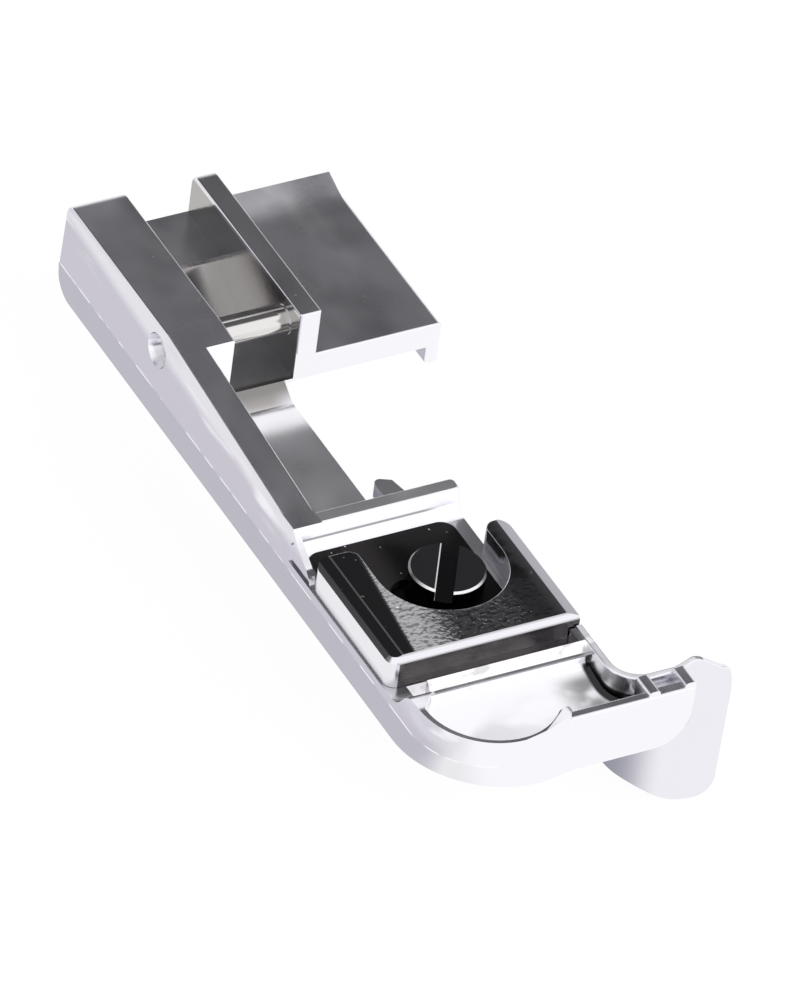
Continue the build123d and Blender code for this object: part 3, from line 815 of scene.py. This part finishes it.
def makeGuidePlate():
    material, tree, shader = startMaterial("blackTopGuidePlate")
    setSockets(shader, {"Metallic": 1.0})
    toned = addTones(tree, guide["bandColor"], guideTones, (-1600, 1500))
    linkNodes(tree, toned, "Result", shader, "Base Color")
    flangeMask = placeZone(tree, guide["flangeArea"], (-400, 500))
    rough = addNode(tree, "ShaderNodeMapRange", (0, 300))
    rough.inputs["To Min"].default_value = guide["roughness"]
    rough.inputs["To Max"].default_value = guide["flangeRoughness"]
    tree.links.new(flangeMask, rough.inputs["Value"])
    linkNodes(tree, rough, "Result", shader, "Roughness")

    # orange peel, drawn out into streaks towards the right prong
    peel = placeGroup(
        tree, surfaceGrain, (-1000, -600), Scale=guide["peelScale"], Detail=guide["peelDetail"],
    )
    streak = placeGroup(
        tree, surfaceGrain, (-1000, -850), Scale=guide["streakScale"], Stretch=guide["streakStretch"],
    )
    blend = addNode(tree, "ShaderNodeMix", (-750, -700))
    onStreaks = placeZone(tree, guide["streakArea"], (-1300, -300))
    tree.links.new(onStreaks, findSocket(blend.inputs, "Factor"))
    linkNodes(tree, peel, "Height", blend, "A")
    linkNodes(tree, streak, "Height", blend, "B")
    height = addMath(tree, "MULTIPLY", (-500, -600))
    tree.links.new(placeZone(tree, guide["peelArea"], (-1300, 0)), height.inputs[0])
    linkNodes(tree, blend, "Result", height, 1)
    leaned = addLeans(tree, guideLeans, (-3000, 0))
    bump = addBump(tree, (200, -400), guide["peelHeight"], height, "Value", leaned)
    linkNodes(tree, bump, "Normal", shader, "Normal")
    return material


# Blackened steel of the clamp screw, lighter along the head's edge, with painted highlights on the
# edge's front and along the slot's left edge

screw = {
    "topColor": (0.16, 0.155, 0.16, 1),
    "shadedColor": (0.05, 0.05, 0.052, 1),
    "roughness": 0.2,
    "grainScale": 4000.0,
    "grainHeight": 0.003 * mm,
}

acrossSlot = (-0.845, 0.534, 0)
slotSide = -17.01
slotDeep = -1.2
onHeadEdge = [(alongZ, 0.45, 0.6), (alongZ, 0.95, 0.8)]
onSlotEdge = {
    "limits": [(acrossSlot, slotSide - 0.04, slotSide), (acrossSlot, slotSide + 0.13, slotSide + 0.07)],
    "facings": onLevel,
}

screwTones = {
    # painted shade: the head's sides and the slot's floor take the darker colour
    "sides": {"facings": [(alongZ, 0.4, 0.2)], "color": screw["shadedColor"]},
    "slotFloor": {"limits": [(alongZ, slotDeep + 0.3, slotDeep)], "color": screw["shadedColor"]},
    "edge": {"facings": onHeadEdge, "color": (0.22, 0.215, 0.22, 1)},
    # painted highlight: the front-facing part of the head's edge is made bright
    "frontEdgeGlint": {
        "facings": [*onHeadEdge, ((-0.3, -0.95, 0), 0.3, 0.6)],
        "color": (0.85, 0.84, 0.85, 1),
    },
    # painted highlight: a thin bright line along the slot's left edge
    "slotEdgeGlint": {**onSlotEdge, "color": (0.6, 0.6, 0.6, 1)},
}

screwLeans = {"slotEdgeGlint": {**onSlotEdge, "lean": (-0.2, -0.4, 0)}}


def makeScrewBlack():
    material, tree, shader = startMaterial("blackenedScrew")
    setSockets(shader, {"Metallic": 1.0, "Roughness": screw["roughness"]})
    toned = addTones(tree, screw["topColor"], screwTones, (-1600, 1500))
    linkNodes(tree, toned, "Result", shader, "Base Color")
    grain = placeGroup(tree, surfaceGrain, (-400, -200), Scale=screw["grainScale"])
    leaned = addLeans(tree, screwLeans, (-3000, 0))
    bump = addBump(tree, (200, -200), screw["grainHeight"], grain, "Height", leaned)
    linkNodes(tree, bump, "Normal", shader, "Normal")
    return material


finishes = {
    "foot_body": makeCastingPlate(),
    "snap_pin": makePinSteel(),
    "tape_guide": makeGuidePlate(),
    "clamp_screw": makeScrewBlack(),
}
for nodeName, finish in finishes.items():
    for materialSlot in nodes[nodeName].material_slots:
        materialSlot.material = finish
print("finishes placed:", ", ".join(sorted(finishes)))


# Pale floor under the foot, and white surroundings with a dark patch high up at the rear

studio = {
    "floorDrop": 2 * mm,
    "floorSize": 3.0,
    "floorColor": (0.96, 0.94, 0.98, 1),
    "floorRoughness": 0.9,
    "floorGlow": 0.88,
    "glowStrength": 1.04,
    "backdropColor": (0.8, 0.8, 0.8, 1),
    "worldColor": (0.97, 0.97, 1.0, 1),
    "worldStrength": 0.75,
    "mirrorStrength": 1.15,
    "darkColor": (0.10, 0.098, 0.105, 1),
    "darkAzimuth": 15.0,
    "darkReach": (50.0, 80.0),
    "darkLow": (14.0, 24.0),
    "darkHigh": (68.0, 76.0),
}


# The floor glows for the camera and for what mirrors it, and keeps a share of the shadow
def makeFloor():
    bpy.ops.mesh.primitive_plane_add(
        size=studio["floorSize"], location=(0, 0, cadLow[2] - studio["floorDrop"]),
    )
    floor = bpy.context.object
    floor.name = "paleFloor"
    material, tree, shader = startMaterial("paleFloor")
    setSockets(shader, {
        "Base Color": studio["floorColor"],
        "Roughness": studio["floorRoughness"],
        "Specular IOR Level": 0.0,
    })
    glow = addNode(tree, "ShaderNodeEmission", (600, -300))
    glow.inputs["Strength"].default_value = studio["glowStrength"]
    path = addNode(tree, "ShaderNodeLightPath", (-200, 400))
    seen = addMath(tree, "MAXIMUM", (0, 400))
    linkNodes(tree, path, "Is Camera Ray", seen, 0)
    linkNodes(tree, path, "Is Glossy Ray", seen, 1)
    either = addMath(tree, "MAXIMUM", (200, 400))
    linkNodes(tree, seen, "Value", either, 0)
    linkNodes(tree, path, "Is Transmission Ray", either, 1)
    share = addMath(tree, "MULTIPLY", (400, 300), second=studio["floorGlow"])
    linkNodes(tree, either, "Value", share, 0)
    mix = addNode(tree, "ShaderNodeMixShader", (800, 100))
    linkNodes(tree, share, "Value", mix, 0)
    linkNodes(tree, shader, "BSDF", mix, 1)
    linkNodes(tree, glow, "Emission", mix, 2)
    linkNodes(tree, mix, "Shader", tree.nodes["Material Output"], "Surface")
    floor.data.materials.append(material)


# 0 at the first angle and 1 at the second, for a value that is a sine or a cosine
def rampAngle(tree, node, output, angles, turn, place):
    ramp = addNode(tree, "ShaderNodeMapRange", place, interpolation_type="SMOOTHSTEP")
    ramp.inputs["From Min"].default_value = turn(math.radians(angles[0]))
    ramp.inputs["From Max"].default_value = turn(math.radians(angles[1]))
    linkNodes(tree, node, output, ramp, "Value")
    return ramp


# Mask of the dark patch, from the direction in which a ray leaves
def addDarkPatch(tree):
    coords = addNode(tree, "ShaderNodeTexCoord", (-1500, 0))
    parts = addNode(tree, "ShaderNodeSeparateXYZ", (-1300, 200))
    linkNodes(tree, coords, "Generated", parts, "Vector")
    flat = addNode(tree, "ShaderNodeVectorMath", (-1300, -100), operation="MULTIPLY")
    flat.inputs[1].default_value = (1, 1, 0)
    linkNodes(tree, coords, "Generated", flat, 0)
    unit = addNode(tree, "ShaderNodeVectorMath", (-1100, -100), operation="NORMALIZE")
    linkNodes(tree, flat, "Vector", unit, 0)
    toward = addNode(tree, "ShaderNodeVectorMath", (-900, -100), operation="DOT_PRODUCT")
    middle = math.radians(studio["darkAzimuth"])
    toward.inputs[1].default_value = (math.sin(middle), math.cos(middle), 0)
    linkNodes(tree, unit, "Vector", toward, 0)
    reach = rampAngle(tree, toward, "Value", studio["darkReach"][::-1], math.cos, (-700, -100))
    above = rampAngle(tree, parts, "Z", studio["darkLow"], math.sin, (-700, 200))
    below = rampAngle(tree, parts, "Z", studio["darkHigh"][::-1], math.sin, (-700, 450))
    band = addMath(tree, "MULTIPLY", (-500, 300))
    linkNodes(tree, above, "Result", band, 0)
    linkNodes(tree, below, "Result", band, 1)
    dark = addMath(tree, "MULTIPLY", (-350, 100))
    linkNodes(tree, band, "Value", dark, 0)
    linkNodes(tree, reach, "Result", dark, 1)
    return dark


# One pale tone for the camera, white with the dark patch for what mirrors it, and plain white
# for all other light
def makeSurroundings():
    world = bpy.data.worlds.new("whiteTent")
    bpy.context.scene.world = world
    world.use_nodes = True
    tree = world.node_tree
    tree.nodes.clear()
    mask = addDarkPatch(tree).outputs["Value"]
    shade = addMix(tree, (-200, 0), mask, studio["worldColor"], studio["darkColor"])
    mirrored = addNode(tree, "ShaderNodeBackground", (0, 0))
    mirrored.inputs["Strength"].default_value = studio["mirrorStrength"]
    linkNodes(tree, shade, "Result", mirrored, "Color")
    plain = addNode(tree, "ShaderNodeBackground", (0, -200))
    setSockets(plain, {"Color": studio["worldColor"], "Strength": studio["worldStrength"]})
    backdrop = addNode(tree, "ShaderNodeBackground", (0, -400))
    setSockets(backdrop, {"Color": studio["backdropColor"]})
    path = addNode(tree, "ShaderNodeLightPath", (-250, 400))
    glossy = addNode(tree, "ShaderNodeMixShader", (250, 0))
    linkNodes(tree, path, "Is Glossy Ray", glossy, 0)
    linkNodes(tree, plain, "Background", glossy, 1)
    linkNodes(tree, mirrored, "Background", glossy, 2)
    seen = addNode(tree, "ShaderNodeMixShader", (450, 0))
    linkNodes(tree, path, "Is Camera Ray", seen, 0)
    linkNodes(tree, glossy, "Shader", seen, 1)
    linkNodes(tree, backdrop, "Background", seen, 2)
    output = addNode(tree, "ShaderNodeOutputWorld", (650, 0))
    linkNodes(tree, seen, "Shader", output, "Surface")


lamps = {
    "front": {"place": (0.10, -0.45, 0.30), "size": 0.35, "power": 1.0},
}


def makeLamps():
    aim = Vector(((cadLow[0] + cadHigh[0]) / 2, (cadLow[1] + cadHigh[1]) / 2, 0))
    for name, values in lamps.items():
        data = bpy.data.lights.new(name + "Lamp", "AREA")
        data.size = values["size"]
        data.energy = values["power"]
        lamp = bpy.data.objects.new(name + "Lamp", data)
        lamp.location = values["place"]
        lamp.rotation_euler = (aim - lamp.location).to_track_quat("-Z", "Y").to_euler()
        lamp.visible_glossy = False
        bpy.context.scene.collection.objects.link(lamp)


makeFloor()
makeSurroundings()
makeLamps()
print("floor, surroundings and lamps made")


# Camera: a long lens from the front left and above, turned a little about its own axis

view = {
    "azimuth": -32.55,
    "elevation": 39.44,
    "roll": 7.98,
    "distance": 1085.3 * mm,
    "aim": Vector((7.41, -13.44, -8.93)) * mm,
    "lens": 504.0,
    "filmHeight": 36.0,
    "clipStart": 0.05,
}


def makeCamera():
    azimuth, elevation, roll = (math.radians(view[name]) for name in ("azimuth", "elevation", "roll"))
    level = math.cos(elevation)
    right = Vector((math.cos(azimuth), math.sin(azimuth), 0))
    back = Vector((math.sin(azimuth) * level, -math.cos(azimuth) * level, math.sin(elevation)))
    up = back.cross(right)
    rolledRight = right * math.cos(roll) + up * math.sin(roll)
    rolledUp = up * math.cos(roll) - right * math.sin(roll)
    data = bpy.data.cameras.new("camera")
    data.sensor_fit = "VERTICAL"
    data.sensor_height = view["filmHeight"]
    data.lens = view["lens"]
    data.clip_start = view["clipStart"]
    camera = bpy.data.objects.new("camera", data)
    turn = Matrix((rolledRight, rolledUp, back)).transposed().to_4x4()
    camera.matrix_world = Matrix.Translation(view["aim"] + back * view["distance"]) @ turn
    bpy.context.scene.collection.objects.link(camera)
    bpy.context.scene.camera = camera


makeCamera()
bpy.context.scene.view_settings.view_transform = "Standard"
print("camera placed")
